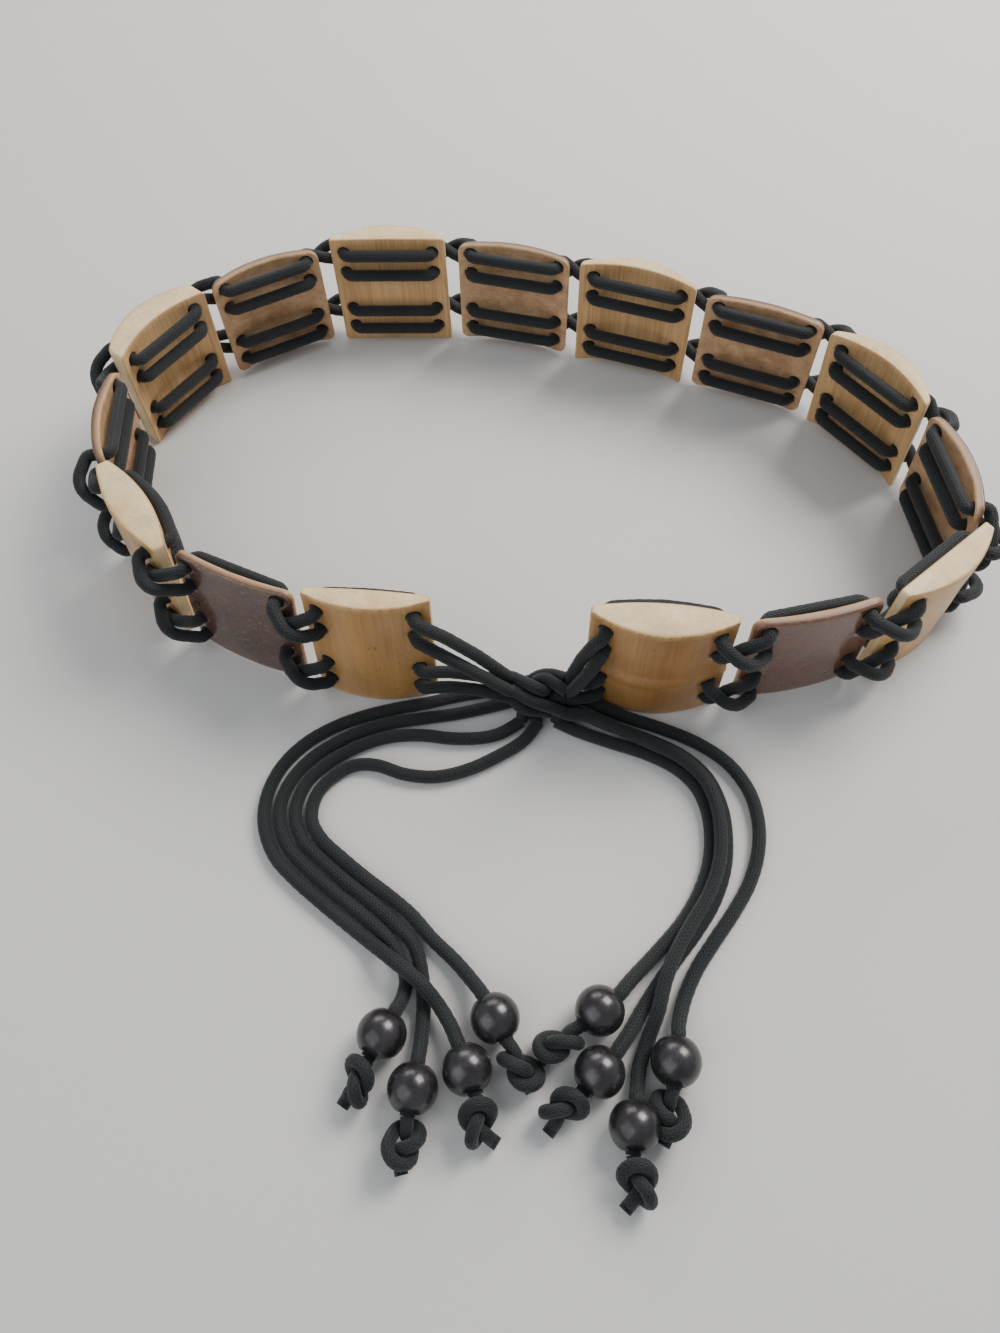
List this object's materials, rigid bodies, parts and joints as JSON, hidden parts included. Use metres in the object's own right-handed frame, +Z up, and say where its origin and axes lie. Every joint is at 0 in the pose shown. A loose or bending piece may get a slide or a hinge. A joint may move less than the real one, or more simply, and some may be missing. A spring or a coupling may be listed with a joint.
{
  "type": "beaded tie belt",
  "caption": "Tie belt of upright bamboo and coconut shell plates laced on black braided cords, tied in front, with beads and knots on the loose cord ends.",
  "frame": {"origin": "on the surface it stands on, at the middle of the belt's loop and tie knot", "axes": "+Z up, -Y towards the tie in front, +X to the right as seen from the front"},
  "size_m": [0.3148, 0.3357, 0.0468],
  "materials": {
    "bamboo": "polished",
    "coconut_shell": "polished",
    "braided_cord": "matte braid",
    "satin_bead": "satin metallic"
  },
  "bodies": {
    "root": {"bamboo_plate_1": "bamboo", "bamboo_plate_2": "bamboo", "bamboo_plate_3": "bamboo", "bamboo_plate_4": "bamboo", "bamboo_plate_5": "bamboo", "bamboo_plate_6": "bamboo", "bamboo_plate_7": "bamboo", "bamboo_plate_8": "bamboo", "shell_plate_1": "coconut_shell", "shell_plate_2": "coconut_shell", "shell_plate_3": "coconut_shell", "shell_plate_4": "coconut_shell", "shell_plate_5": "coconut_shell", "shell_plate_6": "coconut_shell", "shell_plate_7": "coconut_shell", "lacing_cord_1": "braided_cord", "lacing_cord_2": "braided_cord", "lacing_cord_3": "braided_cord", "lacing_cord_4": "braided_cord", "tie_knot": "braided_cord", "tie_cord_1": "braided_cord", "tie_cord_2": "braided_cord", "tie_cord_3": "braided_cord", "tie_cord_4": "braided_cord", "tie_cord_5": "braided_cord", "tie_cord_6": "braided_cord", "tie_cord_7": "braided_cord", "tie_cord_8": "braided_cord", "tie_bead_1": "satin_bead", "tie_bead_2": "satin_bead", "tie_bead_3": "satin_bead", "tie_bead_4": "satin_bead", "tie_bead_5": "satin_bead", "tie_bead_6": "satin_bead", "tie_bead_7": "satin_bead", "tie_bead_8": "satin_bead", "end_knot_1": "braided_cord", "end_knot_2": "braided_cord", "end_knot_3": "braided_cord", "end_knot_4": "braided_cord", "end_knot_5": "braided_cord", "end_knot_6": "braided_cord", "end_knot_7": "braided_cord", "end_knot_8": "braided_cord"}
  },
  "joints": []
}
